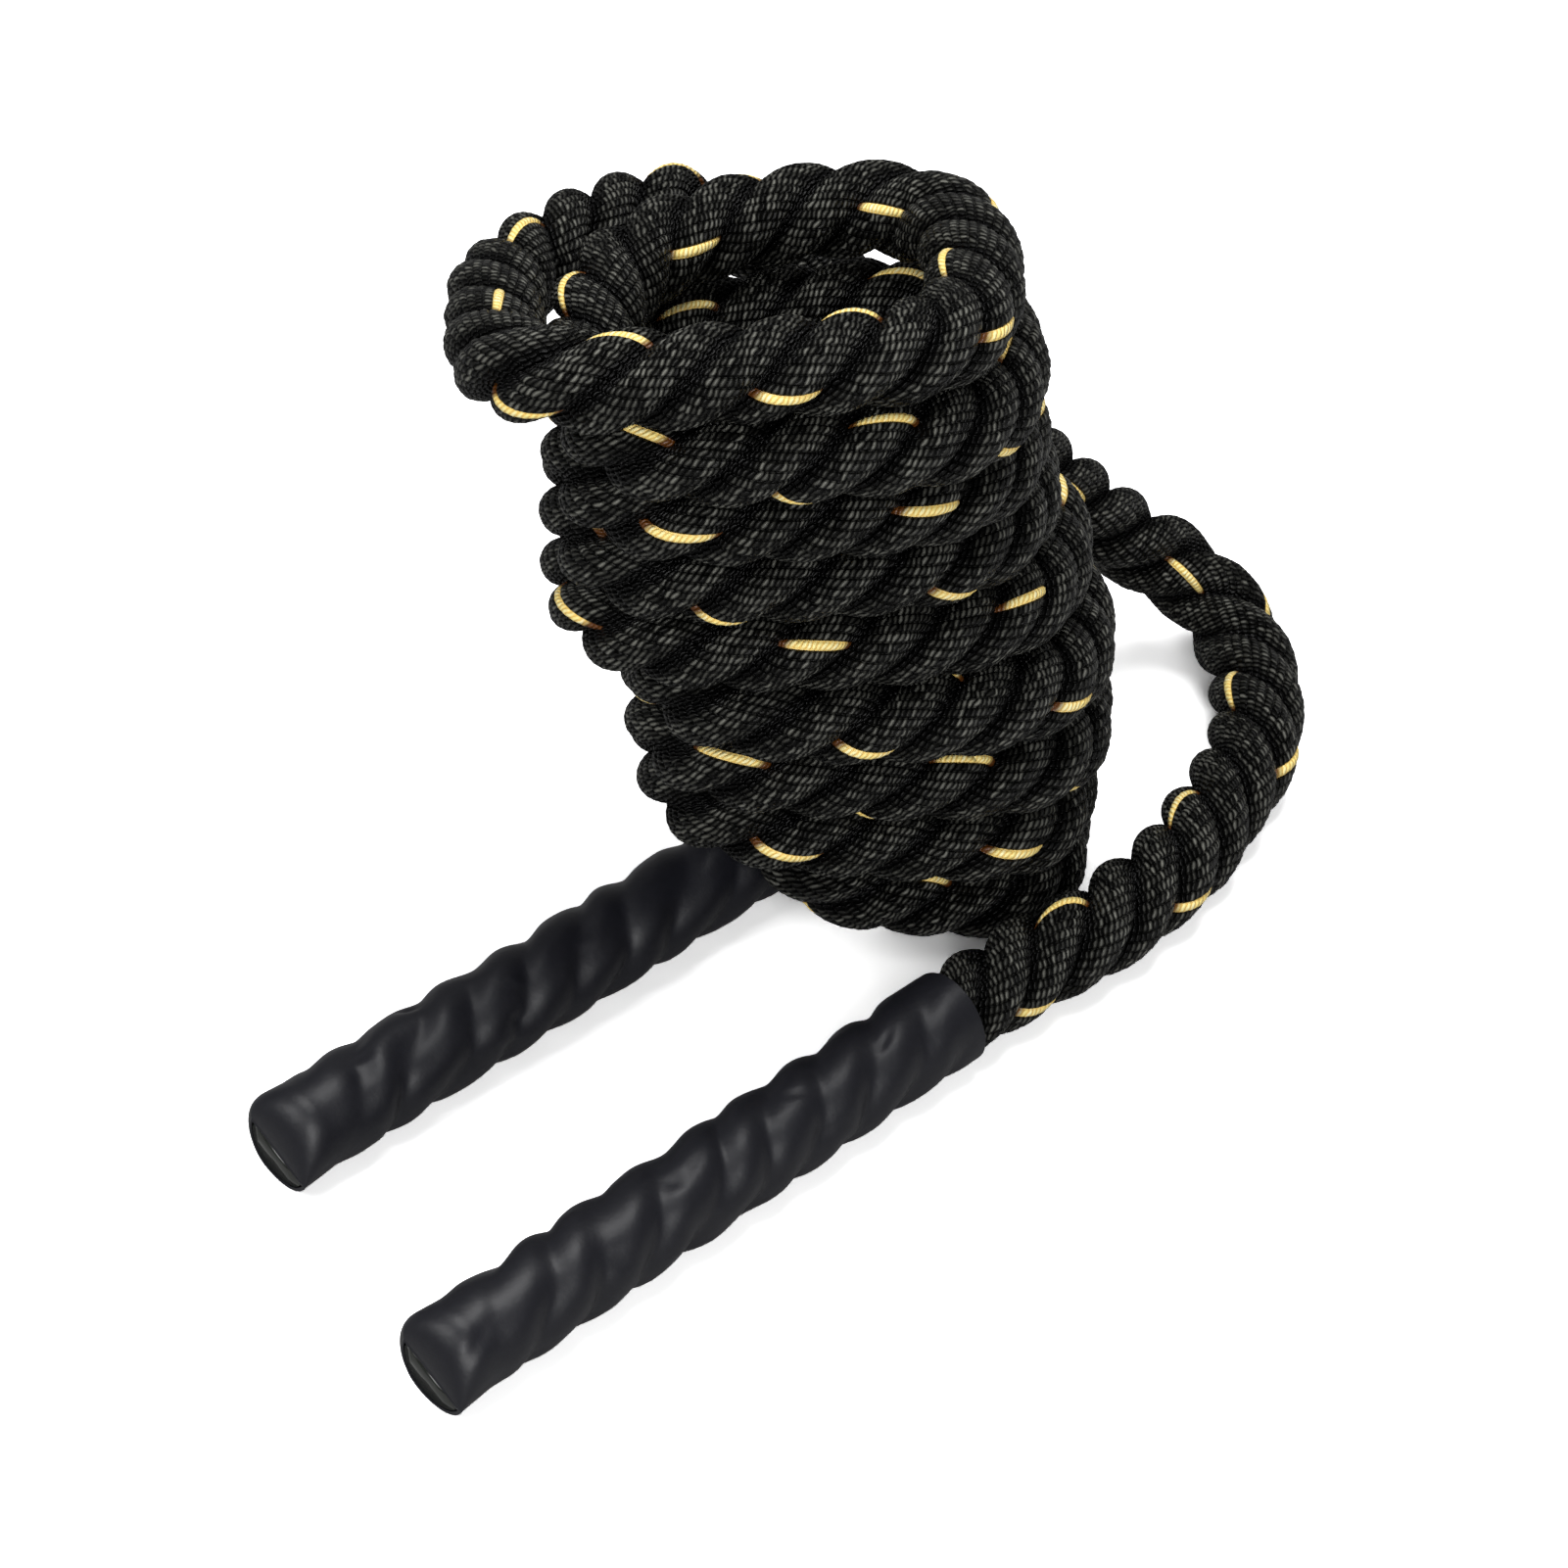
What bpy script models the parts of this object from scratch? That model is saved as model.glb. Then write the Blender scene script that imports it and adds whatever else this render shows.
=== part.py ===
"""Battle rope: one length of three-strand rope in a leaning coil, with a shrunk sleeve over each end.

The near end leaves the top of the coil, comes down behind it and lies in a loose loop on the floor (the
lead). The far end runs under the coil (the tail). Metres, +Z up, +Y away from the viewer, the floor at
Z = 0. The origin is the middle of the part's box on the floor.
"""
import math

import bmesh
import bpy
import numpy as np

# Rope
ROPE_DIAMETER = 0.038
NESTING = 0.0036  # a turn sinks this far into the grooves of the turn below
TUBE_SLIMNESS = 0.0015  # the plain tube is this much thinner than the rope over its strands
FLOOR_CUT = ROPE_DIAMETER / 10
TOUCH_GAP = 0.0003
TUBE_RADIUS = (ROPE_DIAMETER - TUBE_SLIMNESS) / 2
LEVEL_RISE = ROPE_DIAMETER - NESTING
FLOOR_CENTRE = ROPE_DIAMETER / 2 - FLOOR_CUT
LAY_LENGTH = 0.082
STRANDS = 3

# Coil: reaches of the rope's centre line, a value for each turn from the bottom, as shares of COIL_REACH
COIL_REACH = 0.100
TURNS = 8.5
POINTS_A_TURN = 24
RIGHT_SHARES = (1.06, 1.07, 1.12, 1.12, 1.02, 0.88, 0.82, 0.80, 0.70)
RIGHT_DEPTH_SHARES = (-0.40, -0.48, -0.48, -0.42, -0.36, -0.44, -0.55, -0.64, -0.60)
NEAR_SHARES = (-0.97, -1.14, -1.19, -1.27, -1.26, -1.30, -1.39, -1.49, -1.48)
LEFT_SHARES = (0.00, -0.42, -0.45, -0.46, -0.74, -0.73, -0.71, -0.70, -1.04)
LEFT_DEPTH_SHARES = (-0.62, -0.68, -0.73, -0.78, -0.80, -0.84, -0.92, -0.96, -1.00)
FAR_SHARES = (0.08, 0.04, 0.00, -0.02, -0.08, -0.14, -0.20, -0.06, -0.04)
BLUNT_SHARE = 0.05  # how far a turn's outline is squared off

# Coil: each turn climbs one level between these shares of the turn, and may dip on its left side
CLIMB_START_SHARES = (0.06, -0.02, -0.03, -0.04, -0.06, -0.10, -0.12, -0.14, -0.17)
CLIMB_END_SHARES = (0.48, 0.37, 0.36, 0.35, 0.34, 0.32, 0.31, 0.30, 0.29)
CLIMB_EASE_SHARE = 0.25
SAG = 0.020
SAG_SHARES = (0.0, 0.0, 0.0, 0.0, 0.3, 0.0, 0.0, 0.0, 1.2)
SAG_PLACE_SHARE = 0.53
SAG_WIDTH_SHARE = 0.10
HUMP = 0.008  # extra height where the first turn crosses the far sleeve
HUMP_PLACE_SHARE = 0.50
HUMP_WIDTH_SHARE = 0.10

# Handles
HANDLE_LENGTH = 0.266
SLEEVE_CREST_RADIUS = 0.0196
SLEEVE_GROOVE_DEPTH = 0.0022
SLEEVE_WALL = 0.0015
SLEEVE_ROUND_LENGTH = 0.045  # the end of the sleeve, where the strands don't show
SLEEVE_RINGS = 46
SLEEVE_SIDES = 18
END_LIP = 0.0012
CAP_THICKNESS = 0.003
CAP_DEPTH = 0.0015
WHIPPING_LENGTH = 0.016
WHIPPING_SETBACK = 0.004
WHIPPING_THICKNESS = 0.0012
TURNED_STEPS = 24
BORE_RADIUS = SLEEVE_CREST_RADIUS - SLEEVE_GROOVE_DEPTH - SLEEVE_WALL
ROPE_END_RADIUS = BORE_RADIUS * math.cos(math.pi / SLEEVE_SIDES) - TOUCH_GAP
HANDLE_HEIGHT = SLEEVE_CREST_RADIUS

# Handles: the middle of each mouth, as shares of COIL_REACH, and the direction of its axis
LEAD_MOUTH_SHARES = (0.6457, -1.5813)
LEAD_HANDLE_ANGLE = math.radians(43.4)
TAIL_MOUTH_SHARES = (0.0300, -0.4855)
TAIL_HANDLE_ANGLE = math.radians(42.6)

# Free stretches: hand-chosen points of the rope's centre line, besides the straight runs at its ends, as
# shares of COIL_REACH in X and Y and of ROPE_DIAMETER in Z
LEAD_SHARES = (
    (-1.03, -0.36, 7.395),
    (-0.90, -0.09, 7.263),
    (-0.71, 0.15, 7.079),
    (-0.51, 0.36, 6.895),
    (-0.30, 0.49, 6.632),
    (-0.07, 0.57, 6.184),
    (0.16, 0.61, 5.553),
    (0.39, 0.64, 4.868),
    (0.61, 0.67, 4.184),
    (0.81, 0.70, 3.553),
    (0.99, 0.74, 2.947),
    (1.16, 0.80, 2.368),
    (1.33, 0.86, 1.842),
    (1.50, 0.91, 1.395),
    (1.69, 0.91, 1.026),
    (1.85, 0.80, 0.711),
    (1.94, 0.60, 0.526),
    (1.97, 0.36, 0.500),
    (1.95, 0.10, 0.500),
    (1.87, -0.16, 0.500),
    (1.74, -0.40, 0.500),
    (1.61, -0.66, 0.500),
    (1.42, -0.89, 0.500),
    (1.21, -1.11, 0.500),
)
TAIL_SHARES = (
    (0.450, -0.099, 0.421),
    (0.550, -0.008, 0.400),
    (0.647, 0.082, 0.400),
    (0.734, 0.135, 0.400),
    (0.834, 0.150, 0.400),
    (0.932, 0.125, 0.400),
    (1.013, 0.064, 0.400),
    (1.064, -0.023, 0.400),
)
FREE_STEP = 0.017

# Meshes
COIL_BEVEL_STEPS = 1
COIL_SIDES = 6
FREE_BEVEL_STEPS = 3
FOOT_RUN = TUBE_RADIUS
TOP_RUN = 2 * TUBE_RADIUS
JOINT_RUN = TUBE_RADIUS / 2  # straight run of a free stretch where it meets the coil
CUT_OVERRUN = 0.02
WELD = 0.00001
SHARP_ANGLE = math.radians(50)

# Looks: linear red, green and blue, and the roughness
ROPE_BLACK = (0.012, 0.012, 0.013)
ROPE_ROUGHNESS = 0.6
SLEEVE_BLACK = (0.011, 0.012, 0.015)
SLEEVE_ROUGHNESS = 0.42
CAP_BLACK = (0.008, 0.008, 0.009)
CAP_ROUGHNESS = 0.5
TWINE_GREY = (0.10, 0.10, 0.10)
TWINE_ROUGHNESS = 0.8


def between(shares, place):
    """A smooth curve through a table's values at 0, 1, 2 and so on, read at each place."""
    table = np.array([shares[0], *shares, shares[-1], shares[-1]])
    place = np.clip(place, 0, len(shares) - 1)
    first = np.minimum(np.floor(place).astype(int), len(shares) - 1)
    f = place - first
    a, b, c, d = (table[first + i] for i in range(4))
    return b + 0.5 * f * (c - a + f * (2 * a - 5 * b + 4 * c - d + f * (3 * (b - c) + d - a)))


def eased(share):
    """A straight ramp from 0 to 1 whose two ends are rounded off by parabolas."""
    share = np.clip(share, 0, 1)
    ease = CLIMB_EASE_SHARE
    low = share**2 / (2 * ease)
    high = 1 - ease - (1 - share) ** 2 / (2 * ease)
    straight = share - ease / 2
    return np.where(share < ease, low, np.where(share > 1 - ease, high, straight)) / (1 - ease)


def coil_points(turn):
    """The coil's centre line: right, near, left and far sides, and a climb on the near side of each turn."""
    angle = 2 * math.pi * turn
    across = (np.cos(angle) - BLUNT_SHARE * np.cos(3 * angle)) / (1 - BLUNT_SHARE)
    depth = -(np.sin(angle) + BLUNT_SHARE * np.sin(3 * angle)) / (1 - BLUNT_SHARE)
    right = between(RIGHT_SHARES, turn)
    left = between(LEFT_SHARES, turn - 0.5)
    near = between(NEAR_SHARES, turn - 0.25)
    far = between(FAR_SHARES, turn - 0.75)
    right_depth = between(RIGHT_DEPTH_SHARES, turn)
    left_depth = between(LEFT_DEPTH_SHARES, turn - 0.5)
    middle = (near + far) / 2
    x = (right + left) / 2 + (right - left) / 2 * across
    skew = (right_depth - left_depth) / 2 * across + ((right_depth + left_depth) / 2 - middle) * across**2
    y = middle + (far - near) / 2 * depth + skew
    levels = np.zeros_like(turn)
    for k, (start, end) in enumerate(zip(CLIMB_START_SHARES, CLIMB_END_SHARES)):
        levels += eased((turn - k - start) / (end - start))
    hump = HUMP * np.exp(-(((turn - HUMP_PLACE_SHARE) / HUMP_WIDTH_SHARE) ** 2))
    in_turn = turn - np.floor(turn)
    sag = np.exp(-(((in_turn - SAG_PLACE_SHARE) / SAG_WIDTH_SHARE) ** 2))
    sag *= SAG * between(SAG_SHARES, turn - 0.5)
    z = FLOOR_CENTRE + LEVEL_RISE * levels + hump - sag
    return np.column_stack([x * COIL_REACH, y * COIL_REACH, z])


def with_straight_ends(points, first_run, last_run):
    """The points, with a straight run added in line with each end."""
    first = points[0] - points[1]
    last = points[-1] - points[-2]
    before = points[0] + first / np.linalg.norm(first) * first_run
    after = points[-1] + last / np.linalg.norm(last) * last_run
    return np.vstack([before, points, after])


def smooth_curve(points, start, end, step):
    """A cubic spline through the points, with unit directions at its ends, read about every step."""
    points = np.array(points)
    place = np.concatenate([[0], np.cumsum(np.linalg.norm(np.diff(points, axis=0), axis=1))])
    width = np.diff(place)
    count = len(points)
    system = np.eye(count)
    slopes = np.zeros((count, 3))
    slopes[0], slopes[-1] = start, end
    chord = np.diff(points, axis=0) / width[:, None]
    for i in range(1, count - 1):
        system[i, i - 1 : i + 2] = width[i], 2 * (width[i - 1] + width[i]), width[i - 1]
        slopes[i] = 3 * (width[i] * chord[i - 1] + width[i - 1] * chord[i])
    slopes = np.linalg.solve(system, slopes)
    read = np.linspace(0, place[-1], max(2, round(place[-1] / step) + 1))
    i = np.clip(np.searchsorted(place, read, side="right") - 1, 0, count - 2)
    h = width[i, None]
    f = (read - place[i])[:, None] / h
    bend = (slopes[i] + slopes[i + 1] - 2 * chord[i]) * h
    return points[i] + f * (slopes[i] * h + f * ((chord[i] - slopes[i]) * h - bend + f * bend))


def direction(points):
    """The unit direction of the last step."""
    step = points[-1] - points[-2]
    return step / np.linalg.norm(step)


def least_gap(points, thickness, apart):
    """The least space between two stretches of a tube that lie more than a given length of the tube apart."""
    place = np.concatenate([[0], np.cumsum(np.linalg.norm(np.diff(points, axis=0), axis=1))])
    distance = np.linalg.norm(points[:, None] - points[None], axis=2)
    far = np.abs(place[:, None] - place[None]) > apart
    return distance[far].min() - thickness


def material(name, colour, roughness):
    made = bpy.data.materials.new(name)
    made.use_nodes = True
    shader = made.node_tree.nodes["Principled BSDF"]
    shader.inputs["Base Color"].default_value = (*colour, 1)
    shader.inputs["Roughness"].default_value = roughness
    shader.inputs["Metallic"].default_value = 0
    return made


def add(name, data, finish, parent):
    obj = bpy.data.objects.new(name, data)
    obj.data.materials.append(finish)
    obj.parent = parent
    parts.objects.link(obj)
    return obj


def tube(name, points, finish, bevel_resolution):
    """A plain round tube along the points, with flats that face up and down."""
    curve = bpy.data.curves.new(name, "CURVE")
    curve.dimensions = "3D"
    curve.twist_mode = "Z_UP"
    curve.bevel_depth = TUBE_RADIUS
    curve.bevel_resolution = bevel_resolution
    curve.use_fill_caps = True
    spline = curve.splines.new("POLY")
    spline.points.add(len(points) - 1)
    for point, place in zip(spline.points, points):
        point.co = (*place, 1)
    return add(name, curve, finish, model)


def as_mesh(tube_object):
    """The same piece as a mesh with its caps welded, so that it can be cut."""
    name = tube_object.name
    finish = tube_object.data.materials[0]
    bpy.context.view_layer.update()
    evaluated = tube_object.evaluated_get(bpy.context.evaluated_depsgraph_get())
    mesh = bpy.data.meshes.new_from_object(evaluated)
    shape = bmesh.new()
    shape.from_mesh(mesh)
    bmesh.ops.remove_doubles(shape, verts=shape.verts, dist=WELD)
    shape.to_mesh(mesh)
    shape.free()
    place = tube_object.matrix_world.copy()
    bpy.data.objects.remove(tube_object)
    mesh.materials.clear()
    made = add(name, mesh, finish, model)
    made.matrix_world = place
    return made


def cut_at_floor(name, tube_object):
    """Cuts away what lies under the floor, which leaves a flat face to rest on."""
    piece = as_mesh(tube_object)
    corners = np.array([corner[:] for corner in piece.bound_box])
    low, high = corners.min(axis=0), corners.max(axis=0)
    size = high - low + 2 * CUT_OVERRUN
    shape = bmesh.new()
    bmesh.ops.create_cube(shape, size=1)
    bmesh.ops.scale(shape, vec=(size[0], size[1], CUT_OVERRUN), verts=shape.verts)
    centre = ((low[0] + high[0]) / 2, (low[1] + high[1]) / 2, -CUT_OVERRUN / 2)
    bmesh.ops.translate(shape, vec=centre, verts=shape.verts)
    mesh = bpy.data.meshes.new(name)
    shape.to_mesh(mesh)
    shape.free()
    cutter = bpy.data.objects.new(name, mesh)
    cutter.parent = model
    cutter.hide_render = True
    cutter.display_type = "WIRE"
    cutters.objects.link(cutter)
    cut = piece.modifiers.new("floor_flat", "BOOLEAN")
    cut.operation = "DIFFERENCE"
    cut.object = cutter
    return piece


def turned(name, profile, finish, parent):
    """A turned piece about the handle's axis, from (place along the axis, radius) points in order."""
    mesh = bpy.data.meshes.new(name)
    count = len(profile)
    edges = [((i + 1) % count, i) for i in range(count)]
    if profile[0][1] == 0:
        edges = edges[:-1]
    mesh.from_pydata([(along, radius, 0) for along, radius in profile], edges, [])
    piece = add(name, mesh, finish, parent)
    screw = piece.modifiers.new("turn", "SCREW")
    screw.axis = "X"
    screw.steps = TURNED_STEPS
    screw.render_steps = TURNED_STEPS
    screw.use_merge_vertices = True
    screw.merge_threshold = WELD
    screw.use_smooth_shade = True
    return piece


def sleeve(name, finish, parent):
    """A lofted shell with a bore: the strands show as a left-handed spiral, which fades at the round end."""
    shape = bmesh.new()
    along = np.linspace(0, HANDLE_LENGTH, SLEEVE_RINGS)
    round_angle = np.arange(SLEEVE_SIDES) * 2 * math.pi / SLEEVE_SIDES
    rings = []
    for place in along:
        shown = np.clip((place - SLEEVE_ROUND_LENGTH / 2) / SLEEVE_ROUND_LENGTH, 0, 1)
        groove = SLEEVE_GROOVE_DEPTH * shown * shown * (3 - 2 * shown)
        lip = END_LIP * max(0, 1 - place / END_LIP)
        turn = -2 * math.pi * place / LAY_LENGTH
        radius = SLEEVE_CREST_RADIUS - lip - groove * (1 - np.cos(STRANDS * round_angle)) / 2
        y = radius * np.cos(round_angle + turn)
        z = radius * np.sin(round_angle + turn)
        rings.append([shape.verts.new((place, *yz)) for yz in zip(y, z)])
    steps_turned = round(-SLEEVE_SIDES * HANDLE_LENGTH / LAY_LENGTH) % SLEEVE_SIDES
    y = BORE_RADIUS * np.cos(round_angle)
    z = BORE_RADIUS * np.sin(round_angle)
    bore_mouth = [shape.verts.new((HANDLE_LENGTH, *yz)) for yz in zip(y, z)]
    bore_end = [shape.verts.new((0, *yz)) for yz in zip(y, z)]
    mouth_in_step = bore_mouth[steps_turned:] + bore_mouth[:steps_turned]
    pairs = [*zip(rings, rings[1:]), (rings[-1], mouth_in_step), (bore_mouth, bore_end), (bore_end, rings[0])]
    for ring, following in pairs:
        for i in range(SLEEVE_SIDES):
            after = (i + 1) % SLEEVE_SIDES
            shape.faces.new((ring[i], ring[after], following[after], following[i]))
    bmesh.ops.recalc_face_normals(shape, faces=shape.faces)
    mesh = bpy.data.meshes.new(name)
    shape.to_mesh(mesh)
    shape.free()
    mesh.shade_smooth()
    mesh.set_sharp_from_angle(angle=SHARP_ANGLE)
    return add(name, mesh, finish, parent)


def handle(name, mouth, axis):
    """The rope's end, its whipping, the sleeve and its cap, on an empty at the outer end, X inwards."""
    frame = bpy.data.objects.new(name + "_frame", None)
    frame.parent = model
    frame.location = mouth - axis * HANDLE_LENGTH
    frame.rotation_euler = (0, 0, math.atan2(axis[1], axis[0]))
    parts.objects.link(frame)
    rope_start = CAP_DEPTH + CAP_THICKNESS + TOUCH_GAP
    whipping_start = rope_start + WHIPPING_SETBACK
    whipping_end = whipping_start + WHIPPING_LENGTH
    bound_radius = ROPE_END_RADIUS - WHIPPING_THICKNESS - TOUCH_GAP
    rope_end = (
        (rope_start, 0),
        (rope_start, bound_radius),
        (whipping_end + TOUCH_GAP, bound_radius),
        (whipping_end + TOUCH_GAP, ROPE_END_RADIUS),
        (HANDLE_LENGTH, ROPE_END_RADIUS),
        (HANDLE_LENGTH, 0),
    )
    turned(name + "_rope_end", rope_end, rope_black, frame)
    whipping = (
        (whipping_start, bound_radius + TOUCH_GAP),
        (whipping_start, ROPE_END_RADIUS),
        (whipping_end, ROPE_END_RADIUS),
        (whipping_end, bound_radius + TOUCH_GAP),
    )
    turned(name + "_end_whipping", whipping, twine_grey, frame)
    cap = (
        (CAP_DEPTH, 0),
        (CAP_DEPTH, ROPE_END_RADIUS),
        (CAP_DEPTH + CAP_THICKNESS, ROPE_END_RADIUS),
        (CAP_DEPTH + CAP_THICKNESS, 0),
    )
    turned(name + "_end_cap", cap, cap_black, frame)
    sleeve(name + "_handle_sleeve", sleeve_black, frame)


def mouth_and_axis(shares, angle):
    """The middle of a handle's mouth, and the direction of its axis there."""
    place = np.array([shares[0] * COIL_REACH, shares[1] * COIL_REACH, HANDLE_HEIGHT])
    return place, np.array([math.cos(angle), math.sin(angle), 0])


def free_points(shares):
    return np.array(shares) * np.array([COIL_REACH, COIL_REACH, ROPE_DIAMETER])


for old in list(bpy.data.objects):
    bpy.data.objects.remove(old)
parts = bpy.data.collections.new("battle_rope")
cutters = bpy.data.collections.new("cutters")
for collection in (parts, cutters):
    bpy.context.scene.collection.children.link(collection)
model = bpy.data.objects.new("battle_rope", None)
parts.objects.link(model)

rope_black = material("rope_black", ROPE_BLACK, ROPE_ROUGHNESS)
sleeve_black = material("sleeve_black", SLEEVE_BLACK, SLEEVE_ROUGHNESS)
cap_black = material("cap_black", CAP_BLACK, CAP_ROUGHNESS)
twine_grey = material("twine_grey", TWINE_GREY, TWINE_ROUGHNESS)

# Coil
turn = np.linspace(0, TURNS, round(TURNS * POINTS_A_TURN) + 1)
coil = with_straight_ends(coil_points(turn), FOOT_RUN, TOP_RUN)
flat_height = 2 * TUBE_RADIUS * math.cos(math.pi / COIL_SIDES)
print("coil: least gap to itself", round(least_gap(coil, flat_height, 4 * ROPE_DIAMETER) * 1000, 2), "mm")
cut_at_floor("coil_floor_cutter", tube("rope_coil", coil, rope_black, COIL_BEVEL_STEPS))

# Lead: from the top of the coil down to the near handle
lead_mouth, lead_axis = mouth_and_axis(LEAD_MOUTH_SHARES, LEAD_HANDLE_ANGLE)
outwards = direction(coil)
lead_start = coil[-1] + outwards * TOUCH_GAP
lead_end = lead_mouth + lead_axis * TOUCH_GAP
lead_middle = free_points(LEAD_SHARES)
lead_route = [lead_start + outwards * JOINT_RUN, *lead_middle, lead_end + lead_axis * ROPE_DIAMETER]
lead = smooth_curve(lead_route, outwards, -lead_axis, FREE_STEP)
lead = np.vstack([lead_start, lead, lead_end])
tube("rope_lead", lead, rope_black, FREE_BEVEL_STEPS)

# Tail: from the far handle to the foot of the coil
tail_mouth, tail_axis = mouth_and_axis(TAIL_MOUTH_SHARES, TAIL_HANDLE_ANGLE)
tail_start = tail_mouth + tail_axis * TOUCH_GAP
inwards = -direction(coil[::-1])
tail_end = coil[0] - inwards * TOUCH_GAP
tail_middle = free_points(TAIL_SHARES)
tail_route = [tail_start + tail_axis * ROPE_DIAMETER, *tail_middle, tail_end - inwards * JOINT_RUN]
tail = smooth_curve(tail_route, tail_axis, inwards, FREE_STEP)
tail = np.vstack([tail_start, tail, tail_end])
cut_at_floor("tail_floor_cutter", tube("rope_tail", tail, rope_black, FREE_BEVEL_STEPS))

handle("lead", lead_mouth, lead_axis)
handle("tail", tail_mouth, tail_axis)

# The origin goes to the middle of the part's box on the floor
bpy.context.view_layer.update()
graph = bpy.context.evaluated_depsgraph_get()
corners = []
for piece in parts.objects:
    if piece.type != "EMPTY":
        shown = piece.evaluated_get(graph)
        corners += [(shown.matrix_world @ vertex.co)[:] for vertex in shown.to_mesh().vertices]
corners = np.array(corners)
middle = (corners.min(axis=0) + corners.max(axis=0)) / 2
model.location = (-middle[0], -middle[1], 0)
print("origin moved by", [round(-value, 5) for value in middle[:2]])
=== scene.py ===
"""Battle rope, dressed: laid strands of twisted yarns, one gold tracer yarn, and shrunk grip sleeves.

Metres, +Z up, +Y away from the viewer. The rope's route is worked out from the same values as its solids.
"""
import math

import bpy
import numpy as np
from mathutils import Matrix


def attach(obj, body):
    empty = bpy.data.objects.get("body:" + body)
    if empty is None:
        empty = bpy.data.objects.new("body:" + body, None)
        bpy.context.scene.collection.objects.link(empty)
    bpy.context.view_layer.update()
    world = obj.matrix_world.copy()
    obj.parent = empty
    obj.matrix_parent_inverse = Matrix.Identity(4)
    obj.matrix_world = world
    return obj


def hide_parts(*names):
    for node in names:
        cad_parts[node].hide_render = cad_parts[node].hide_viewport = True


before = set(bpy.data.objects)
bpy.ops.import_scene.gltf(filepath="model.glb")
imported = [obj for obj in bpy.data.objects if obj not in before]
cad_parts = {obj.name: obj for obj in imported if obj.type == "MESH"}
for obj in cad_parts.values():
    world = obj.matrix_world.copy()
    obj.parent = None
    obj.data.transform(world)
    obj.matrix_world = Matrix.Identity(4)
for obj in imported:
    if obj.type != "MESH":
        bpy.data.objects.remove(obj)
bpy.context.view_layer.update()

# The route's own origin, which the camera looks at, in the part's frame
ROUTE_ORIGIN = (-0.00501, 0.12198, 0.0)

# Camera: distance to the route's origin, height above the floor as an angle, and lens in photograph widths
CAMERA_DISTANCE = 2.110
CAMERA_ELEVATION = math.radians(41.5)
LENS_WIDTHS = 5200 / 1601
SENSOR = 36.0

# Light and floor
LAMPS = (  # name, place, size and watts
    ("left_lamp", (-1.3, -0.7, 1.7), 1.1, 22),
    ("top_lamp", (0.2, 0.5, 2.2), 1.2, 37),
    ("front_lamp", (0.3, -1.7, 1.1), 1.0, 26),
)
LAMP_AIM = (0, 0, 0.1)
WORLD_LIGHT = 0.15  # on the object; the camera sees white
FLOOR_REACH = 6.0
FLOOR_DROP = 0.0005
FLOOR_TONE = (0.35, 0.35, 0.35)  # as it lights the object
FLOOR_SEEN = (2.15, 2.15, 2.15)  # as the camera sees it, white outside the shadows
FLOOR_ROUGHNESS = 0.9
WHITE_FROM, WHITE_BY = 0.9, 2.0  # distances over which the floor goes plain white to the camera

# Rope
LAY_LENGTH = 0.082
LAY_START = 0.024  # along the route, where the first strand faces up
STRANDS = 3
STRAND_RADIUS = 0.0093
STRAND_REACH = 0.0097  # from the rope's centre line to a strand's
LEAD_SWELL_SHARE = 0.045  # by which the free loop is thicker than the coil
LEAD_SWELL_START = 0.35  # along the lead
LEAD_SWELL_RUN = 0.15
GRIPPED_SHARE = 0.925  # of its plain size inside a sleeve
GRIP_RUN = 0.012  # over which it swells out of the sleeve
PRESS_HEIGHT = 0.0125  # above and below the centre line, past which turns press each other
PRESS_SHARE = 0.22
COIL_FADE = 0.03  # over which the pressing starts and ends
FLOOR_SOFTNESS = 0.0006
LEVEL_RISE = 0.0344
FLOOR_CENTRE = 0.0152
TUBE_RADIUS = 0.01825

# Strands' hearts
HEART_SHARE = 0.86  # of a strand's radius
HEART_SIDES = 10
HEART_STEP = 0.008

# Yarns
SECTIONS = 9  # of the rope
YARNS = 11  # round a strand
YARN_TURNS = 2.9  # of a yarn round its strand in one lay, against the lay
YARN_LENGTH_SHARE = 2.1  # of a yarn to the rope
YARN_RELIEF = 0.00075
YARN_STEPS = 6  # faces across a yarn
ALONG_STEP = 0.0018
SPIN_WANDER = 0.06  # of the yarns' angle round a strand
SPIN_WAVES = (0.11, 0.047, 0.031)
LOOSE_RELIEF = 0.00028  # by which one yarn stands above or below the next
LOOSE_WAVES = (0.061, 0.037, 0.023)
TRACER_PROUD = 0.0002
SPIN_SEED = 40
LOOSE_SEED = 100

# Coil, as shares of its reach
COIL_REACH = 0.100
TURNS = 8.5
RIGHT_SHARES = (1.06, 1.07, 1.12, 1.12, 1.02, 0.88, 0.82, 0.80, 0.70)
RIGHT_DEPTH_SHARES = (-0.40, -0.48, -0.48, -0.42, -0.36, -0.44, -0.55, -0.64, -0.60)
NEAR_SHARES = (-0.97, -1.14, -1.19, -1.27, -1.26, -1.30, -1.39, -1.49, -1.48)
LEFT_SHARES = (0.00, -0.42, -0.45, -0.46, -0.74, -0.73, -0.71, -0.70, -1.04)
LEFT_DEPTH_SHARES = (-0.62, -0.68, -0.73, -0.78, -0.80, -0.84, -0.92, -0.96, -1.00)
FAR_SHARES = (0.08, 0.04, 0.00, -0.02, -0.08, -0.14, -0.20, -0.06, -0.04)
BLUNT_SHARE = 0.05
CLIMB_START_SHARES = (0.06, -0.02, -0.03, -0.04, -0.06, -0.10, -0.12, -0.14, -0.17)
CLIMB_END_SHARES = (0.48, 0.37, 0.36, 0.35, 0.34, 0.32, 0.31, 0.30, 0.29)
CLIMB_EASE_SHARE = 0.25
SAG = 0.020
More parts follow.
